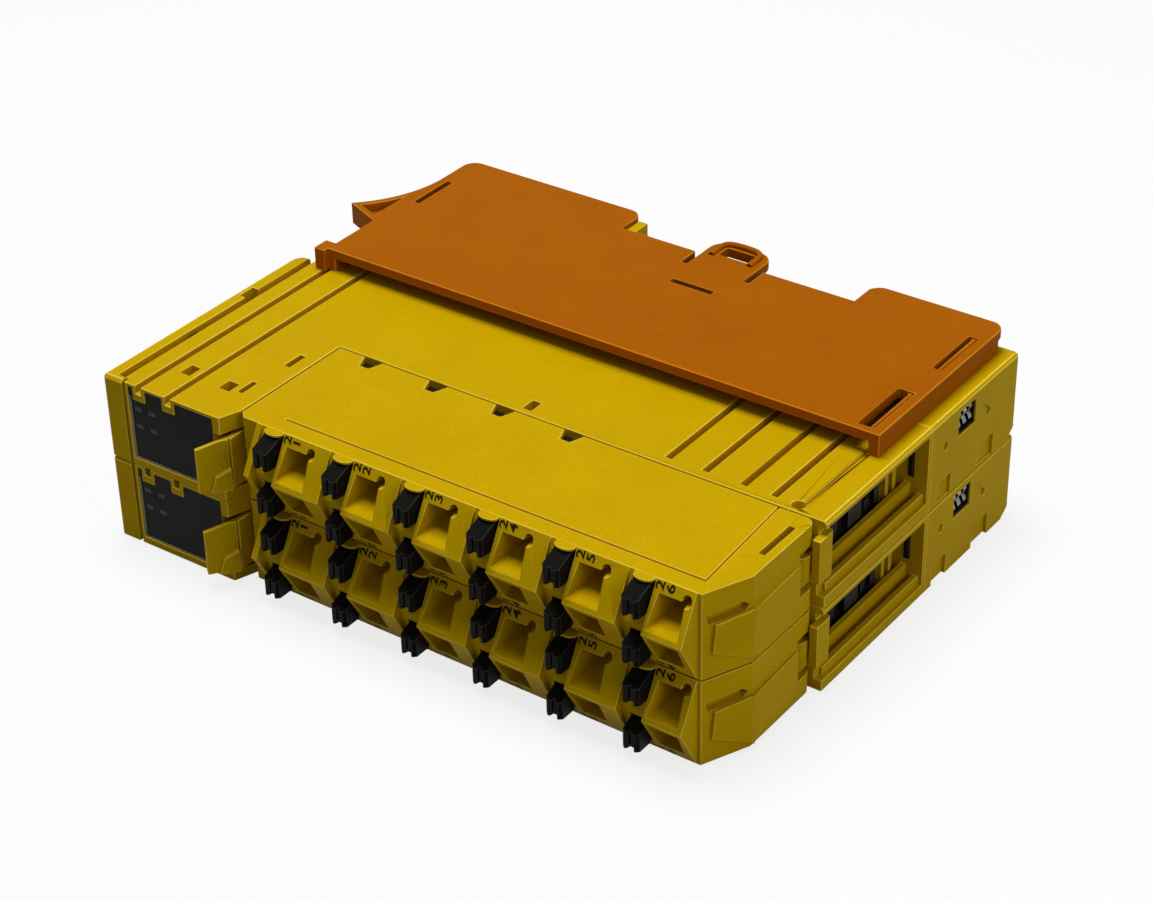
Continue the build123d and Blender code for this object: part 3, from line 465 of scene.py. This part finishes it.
# Window at the end of the bus module, its dark lining and its spring leaves
WINDOW_FRONT, WINDOW_BACK = 20.9, 25.3
WINDOW_LOW, WINDOW_HIGH = 7.6, 11.1
WINDOW_INNER, WINDOW_LIP, WINDOW_STOP = 43.9, 47.6, 46.3
WINDOW_GAP = 0.03
LINING_WALL = 0.15
LINING_BACK = 0.2
DIVIDER_WIDTH = 0.26
DIVIDER_SINK = 0.05
DIVIDER_REACH = 0.5
LEAF_COUNT = 3
LEAF_WIDTH = 0.8
LEAF_THICKNESS = 0.16
LEAF_PATH = (
    (46.4, 7.95), (47.0, 8.0), (47.4, 8.5), (47.2, 9.05), (46.95, 9.35), (47.2, 9.65),
    (47.4, 10.2), (47.0, 10.7), (46.4, 10.75),
)
WINDOW_ROUNDING = 0.03


def contact_window(level, base):
    """Spring leaves in a dark lining with dividers, in the window at the end of the bus module."""
    pitch = (WINDOW_BACK - WINDOW_FRONT) / LEAF_COUNT
    low, high = base + WINDOW_LOW + WINDOW_GAP, base + WINDOW_HIGH - WINDOW_GAP
    front, back = WINDOW_FRONT + WINDOW_GAP, WINDOW_BACK - WINDOW_GAP
    leaves = bmesh.new()
    # Dark lining of the window: a back, walls and dividers between the leaves
    socket = bmesh.new()
    add_block(socket, (WINDOW_STOP - LINING_BACK, front, low), (WINDOW_STOP, back, high))
    for y in (front, back - LINING_WALL):
        add_block(socket, (WINDOW_INNER, y, low), (WINDOW_LIP, y + LINING_WALL, high))
    for z in (low, high - LINING_WALL):
        add_block(socket, (WINDOW_INNER, front, z), (WINDOW_LIP, back, z + LINING_WALL))
    path = [(x, base + z) for x, z in LEAF_PATH]
    for index in range(LEAF_COUNT):
        middle = WINDOW_FRONT + (index + 0.5) * pitch
        leaf_front, leaf_back = middle - LEAF_WIDTH / 2, middle + LEAF_WIDTH / 2
        add_strip(leaves, path, leaf_front, leaf_back, LEAF_THICKNESS)
        if index:
            wall_y = WINDOW_FRONT + index * pitch
            add_block(
                socket,
                (WINDOW_STOP - DIVIDER_SINK, wall_y - DIVIDER_WIDTH / 2, low),
                (WINDOW_STOP + DIVIDER_REACH, wall_y + DIVIDER_WIDTH / 2, high),
            )
    piece = mesh_piece(
        f"{level}_contact_leaves", "module", leaves, "steel", WINDOW_ROUNDING,
    )
    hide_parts(f"{level}_bus_contacts")
    mesh_piece(
        f"{level}_contact_dark_lining", "module", socket, "component",
        WINDOW_ROUNDING,
    )


# Inside of the vent, on the wall that carries it
VENT_WALL = 43.4
VENT_BACK = 13.2
VENT_GAP = 0.01
BOARD_FRONT, BOARD_BACK = -9.7, 8.3
BOARD_LOW, BOARD_HIGH = 1.7, 11.25
BOARD_DEPTH = 0.22
BOARD_ROUNDING = 0.06
# Parts on the board's edge: front y, back y, low z, high z, how far they stand out
VENT_CHIPS = (
    (-8.6, -5.2, 4.6, 7.4, 0.75), (-3.6, -2.4, 4.2, 6.8, 0.5), (-0.6, 2.6, 4.4, 7.9, 0.95),
    (4.1, 5.1, 4.2, 5.6, 0.45), (4.1, 5.1, 6.4, 7.8, 0.45), (6.3, 7.6, 4.2, 6.6, 0.6),
)
CHIP_START = 0.2
VENT_RIBS = (9.1, 10.9)
RIB_WIDTH = 0.7
RIB_DEPTH = 0.8
RIB_HIGH = 11.3
RIB_ROUNDING = 0.08
# Connector slot: corners as x, y from the vent's back wall, z
SLOT_PLATE = ((45.05, -0.14, 5.0), (45.95, -0.01, 8.7))
SLOT_MOUTH = ((45.25, -0.2, 5.4), (45.75, -0.1, 8.3))
SLOT_ROUNDING = 0.05


def vent_inside(level, base):
    """Dark board edge, ribs and connector slot seen through the vent."""
    board_edge = bmesh.new()
    add_block(
        board_edge,
        (VENT_WALL + VENT_GAP, BOARD_FRONT, base + BOARD_LOW),
        (VENT_WALL + BOARD_DEPTH, BOARD_BACK, base + BOARD_HIGH),
    )
    start = VENT_WALL + CHIP_START
    for front, back, low, high, depth in VENT_CHIPS:
        add_block(board_edge, (start, front, base + low), (start + depth, back, base + high))
    mesh_piece(
        f"{level}_vent_board", "module", board_edge, "component",
        BOARD_ROUNDING,
    )
    ribs = bmesh.new()
    for place in VENT_RIBS:
        add_block(
            ribs,
            (VENT_WALL + VENT_GAP, place, base + BOARD_LOW),
            (VENT_WALL + RIB_DEPTH, place + RIB_WIDTH, base + RIB_HIGH),
        )
    mesh_piece(f"{level}_vent_ribs", "module", ribs, "yellow", RIB_ROUNDING)
    liner = bmesh.new()
    origin = Vector((0, VENT_BACK, base))
    for low, high in (SLOT_PLATE, SLOT_MOUTH):
        add_block(liner, origin + Vector(low), origin + Vector(high))
    mesh_piece(
        f"{level}_socket_edge", "module", liner, "component", SLOT_ROUNDING,
    )


# Lips over the upper lever slots: place in the terminal, reach over the slope, and section
HOOD_START, HOOD_WIDTH = 1.75, 2.85
HOOD_REACH = 1.25
HOOD_ROOT = 0.15
HOOD_BROW = 0.1
HOOD_STEPS = 12
HOOD_BLUNTNESS = 0.7
HOOD_TOP_GAP = 0.02
HOOD_THICKNESS = 0.3
HOOD_ROUNDING = 0.07


def slot_hoods(level, base):
    """Rounded lips of the roof over the upper row of lever slots."""
    hoods = bmesh.new()
    top = base + BLOCK_TOP - HOOD_TOP_GAP
    root = BLOCK_FRONT + HOOD_ROOT
    for index in range(TERMINALS):
        left = NOSE_LEFT + GROUP_PITCH * index + HOOD_START
        outline = [(left, root), (left + HOOD_WIDTH, root)]
        for step in range(HOOD_STEPS + 1):
            turn = math.pi * step / HOOD_STEPS
            across = left + HOOD_WIDTH * (1 + math.cos(turn)) / 2
            reach = HOOD_REACH * math.sin(turn) ** HOOD_BLUNTNESS
            outline.append((across, BLOCK_FRONT - HOOD_BROW - reach))
        add_plate(hoods, outline, top - HOOD_THICKNESS, top)
    mesh_piece(
        f"{level}_slot_hoods", f"{level}_block", hoods, "yellow",
        HOOD_ROUNDING,
    )


# Roof windows at the back of the block, with dark sheets of painted shade and ragged lips
SNAP_FIRST, SNAP_PITCH, SNAP_COUNT = -20.7, 10.7, 4
SNAP_WIDE, SNAP_NARROW, SNAP_LENGTH, SNAP_DEPTH = 3.2, 1.6, 2.1, 1.0
BLOCK_BACK = -11.5
# Dark sheets of painted shade: gaps to the window's walls, lift, thickness and rounding
SHADE_SHEET_WIDE_GAP, SHADE_SHEET_NARROW_GAP = 0.05, 0.03
SHADE_SHEET_FRONT_GAP, SHADE_SHEET_BACK_GAP = 0.04, 0.05
SHADE_SHEET_LIFT = 0.01
SHADE_SHEET_THICKNESS = 0.11
SHADE_SHEET_ROUNDING = 0.02
TEETH = 5
TOOTH_REACH = 0.26
TOOTH_ROOT = 0.05
TOOTH_WIDTH = 0.32
TOOTH_SKEW = 0.05
LIP_TOP_GAP = 0.02
LIP_THICKNESS = 0.28
LIP_ROUNDING = 0.03


def snap_windows(level, base):
    """Dark sheets of painted shade and ragged lips in the four roof windows at the back of the
    block.
    """
    shade_sheets = bmesh.new()
    lips = bmesh.new()
    roof = base + BLOCK_TOP
    front = BLOCK_BACK - SNAP_LENGTH
    shade_sheet_low = roof - SNAP_DEPTH + SHADE_SHEET_LIFT
    lip_top = roof - LIP_TOP_GAP
    wide, narrow = SNAP_WIDE / 2 - SHADE_SHEET_WIDE_GAP, SNAP_NARROW / 2 - SHADE_SHEET_NARROW_GAP
    for index in range(SNAP_COUNT):
        middle = SNAP_FIRST + SNAP_PITCH * index
        outline = [
            (middle - narrow, front + SHADE_SHEET_FRONT_GAP),
            (middle + narrow, front + SHADE_SHEET_FRONT_GAP),
            (middle + wide, BLOCK_BACK - SHADE_SHEET_BACK_GAP),
            (middle - wide, BLOCK_BACK - SHADE_SHEET_BACK_GAP),
        ]
        # Dark sheet that paints the shade inside the window
        add_plate(shade_sheets, outline, shade_sheet_low, shade_sheet_low + SHADE_SHEET_THICKNESS)
        for side in (-1, 1):
            for step in range(TEETH):
                along = (step + 0.5) / TEETH
                reach = SNAP_NARROW / 2 + along * (SNAP_WIDE - SNAP_NARROW) / 2
                wall_x = middle + side * reach
                wall_y = front + along * SNAP_LENGTH
                tooth = [
                    (wall_x + side * TOOTH_ROOT, wall_y - TOOTH_WIDTH / 2),
                    (wall_x + side * TOOTH_ROOT, wall_y + TOOTH_WIDTH / 2),
                    (wall_x - side * TOOTH_REACH, wall_y + TOOTH_SKEW * side),
                ]
                add_plate(lips, tooth, lip_top - LIP_THICKNESS, lip_top)
    # The dark sheets are painted shade, not latches
    mesh_piece(
        f"{level}_snap_shade_sheets", f"{level}_block", shade_sheets, "component",
        SHADE_SHEET_ROUNDING,
    )
    mesh_piece(
        f"{level}_snap_lips", f"{level}_block", lips, "yellow", LIP_ROUNDING,
    )


# Pale edge of the dark panel: an upright strip at its outer end and a strip along its foot
PANEL_STAND = 0.05
STRIP_DEPTH = 0.2
UPRIGHT_WIDTH = 0.28
UPRIGHT_LOW, UPRIGHT_TOP_GAP = 0.1, 1.4
FOOT_HEIGHT = 0.2
FOOT_END_GAP = 0.2
STRIP_ROUNDING = 0.04


def panel_edge(level):
    """Pale clear edge of the dark panel, along its outer end and its foot."""
    low, high = [corner / MM for corner in map(Vector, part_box(f"{level}_status_panel"))]
    strip = bmesh.new()
    front = low.y - PANEL_STAND
    back = front + STRIP_DEPTH
    add_block(
        strip,
        (low.x, front, low.z + UPRIGHT_LOW),
        (low.x + UPRIGHT_WIDTH, back, high.z - UPRIGHT_TOP_GAP),
    )
    add_block(
        strip,
        (low.x, front, low.z),
        (high.x - FOOT_END_GAP, back, low.z + FOOT_HEIGHT),
    )
    mesh_piece(
        f"{level}_panel_edge", "module", strip, "clear_edge", STRIP_ROUNDING,
    )


def round_line(name, body, points, radius, finish):
    """Thin moulded line through points, in millimetres."""
    curve = bpy.data.curves.new(name, "CURVE")
    curve.dimensions = "3D"
    curve.bevel_depth = radius * MM
    curve.bevel_resolution = 3
    spline = curve.splines.new("NURBS")
    spline.points.add(len(points) - 1)
    for point, place in zip(spline.points, points):
        point.co = (*(Vector(place) * MM), 1.0)
    spline.order_u = 3
    spline.use_endpoint_u = True
    piece = bpy.data.objects.new(name, curve)
    bpy.context.scene.collection.objects.link(piece)
    curve.materials.append(face[finish])
    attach(piece, body)


# Round moulding marks on the block's roof: centre, radius, start and end in degrees
GATE_MARK = ((44.3, -22.9), 1.0, 10, 190)
KNUCKLE_MARK = ((45.6, -12.9), 1.25, 150, 330)
MARK_RADIUS = 0.05
ARC_STEPS = 8


def arc(centre, radius, start, end, height):
    """Points along an arc given in degrees."""
    points = []
    for step in range(ARC_STEPS + 1):
        turn = math.radians(start + (end - start) * step / ARC_STEPS)
        x = centre[0] + radius * math.cos(turn)
        y = centre[1] + radius * math.sin(turn)
        points.append((x, y, height))
    return points


for level, base in LEVELS:
    contact_window(level, base)
    vent_inside(level, base)
    slot_hoods(level, base)
    snap_windows(level, base)
    panel_edge(level)
    for kind, mark in (("gate", GATE_MARK), ("knuckle", KNUCKLE_MARK)):
        round_line(
            f"{level}_{kind}_mark",
            f"{level}_block",
            arc(*mark, base + BLOCK_TOP),
            MARK_RADIUS,
            "yellow",
        )

# Raised rim round the pull loop's window, higher at the back
LOOP_RIM = (
    (3.4, 31.6, 28.2), (3.3, 33.2, 28.3), (3.6, 35.2, 28.45), (6.45, 35.5, 28.5),
    (9.3, 35.2, 28.45), (9.6, 33.2, 28.3), (9.5, 31.6, 28.2),
)
LOOP_RIM_RADIUS = 0.42
round_line("pull_loop_rim", "module", LOOP_RIM, LOOP_RIM_RADIUS, "orange")


# Floor, world and lights

PAPER_WHITE = (0.9, 0.9, 0.9, 1.0)
# What the floor sends back to the object
BOUNCE_GREY = (0.34, 0.34, 0.34, 1.0)
WHITE = (1.0, 1.0, 1.0, 1.0)
# Share of plain white in the floor that the camera sees; the rest shows the shadow
FLOOR_WHITE = 0.8
FLOOR_REACH = 3.0
FLOOR_DROP = 0.1
SKY_STRENGTH = 0.16
WHITE_STRENGTH = 1.0


def background_rays(tree):
    """One for rays that show the background: seen, mirrored or looked through."""
    path = tree.nodes.new("ShaderNodeLightPath")
    total = path.outputs["Is Camera Ray"]
    for kind in ("Is Glossy Ray", "Is Transmission Ray"):
        either = tree.nodes.new("ShaderNodeMath")
        either.operation = "MAXIMUM"
        tree.links.new(total, either.inputs[0])
        tree.links.new(path.outputs[kind], either.inputs[1])
        total = either.outputs[0]
    return total


def blend_shaders(tree, factor, first, second):
    """Mix of two shaders by a number or a socket."""
    mix = tree.nodes.new("ShaderNodeMixShader")
    if hasattr(factor, "is_output"):
        tree.links.new(factor, mix.inputs[0])
    else:
        mix.inputs[0].default_value = factor
    tree.links.new(first.outputs[0], mix.inputs[1])
    tree.links.new(second.outputs[0], mix.inputs[2])
    return mix


floor_material, tree, node = graph("white_floor")
paper = node("ShaderNodeBsdfDiffuse", Color=PAPER_WHITE)
dull_paper = node("ShaderNodeBsdfDiffuse", Color=BOUNCE_GREY)
glow = node("ShaderNodeEmission", Color=WHITE, Strength=WHITE_STRENGTH)
shown = blend_shaders(tree, FLOOR_WHITE, paper, glow)
finish_graph(tree, node, blend_shaders(tree, background_rays(tree), dull_paper, shown))

floor_mesh = bmesh.new()
bmesh.ops.create_grid(floor_mesh, x_segments=4, y_segments=4, size=FLOOR_REACH)
floor_data = bpy.data.meshes.new("floor")
floor_mesh.to_mesh(floor_data)
floor_mesh.free()
floor = bpy.data.objects.new("floor", floor_data)
floor.location.z = -FLOOR_DROP * MM
floor_data.materials.append(floor_material)
bpy.context.scene.collection.objects.link(floor)

world = bpy.data.worlds.new("studio")
bpy.context.scene.world = world
world.use_nodes = True
tree = world.node_tree
tree.nodes.clear()
sky = tree.nodes.new("ShaderNodeBackground")
sky.inputs["Strength"].default_value = SKY_STRENGTH
white = tree.nodes.new("ShaderNodeBackground")
white.inputs["Strength"].default_value = WHITE_STRENGTH
for background in (sky, white):
    background.inputs["Color"].default_value = WHITE
blend = blend_shaders(tree, background_rays(tree), sky, white)
output = tree.nodes.new("ShaderNodeOutputWorld")
tree.links.new(blend.outputs[0], output.inputs["Surface"])

LAMP_SIZE = 0.30
LAMP_AIM = Vector((0, 0, 0.02))
# Lamps: place in metres and power in watts
LAMPS = {
    "key": ((-0.08, 0.02, 0.62), 3.3),
    "side_fill": ((0.52, -0.04, 0.26), 0.75),
}
for name, (place, power) in LAMPS.items():
    lamp_data = bpy.data.lights.new(name, "AREA")
    lamp_data.size = LAMP_SIZE
    lamp_data.energy = power
    lamp = bpy.data.objects.new(name, lamp_data)
    bpy.context.scene.collection.objects.link(lamp)
    lamp.location = place
    lamp.rotation_euler = (LAMP_AIM - Vector(place)).to_track_quat("-Z", "Y").to_euler()


# Camera at the photograph's angle

FOCAL_PIXELS = 2745.8
FRAME_WIDTH = 1153
SENSOR = 36.0
NEAREST_SEEN = 0.01
AZIMUTH = math.radians(36.248)
ELEVATION = math.radians(32.229)
ROLL = math.radians(-1.244)
CAMERA_PLACE = Vector((182.83, -245.02, 204.90)) * MM

back = Vector((
    math.sin(AZIMUTH) * math.cos(ELEVATION),
    -math.cos(AZIMUTH) * math.cos(ELEVATION),
    math.sin(ELEVATION),
))
right = (-back).cross(Vector((0, 0, 1))).normalized()
up = right.cross(-back)
rolled_right = math.cos(ROLL) * right + math.sin(ROLL) * up
rolled_up = math.cos(ROLL) * up - math.sin(ROLL) * right
camera_data = bpy.data.cameras.new("camera")
camera_data.sensor_width = SENSOR
camera_data.lens = FOCAL_PIXELS / FRAME_WIDTH * SENSOR
camera_data.clip_start = NEAREST_SEEN
camera = bpy.data.objects.new("camera", camera_data)
turn = Matrix((rolled_right, rolled_up, back)).transposed().to_4x4()
camera.matrix_world = Matrix.Translation(CAMERA_PLACE) @ turn
bpy.context.scene.collection.objects.link(camera)
bpy.context.scene.camera = camera
bpy.context.scene.view_settings.view_transform = "Standard"
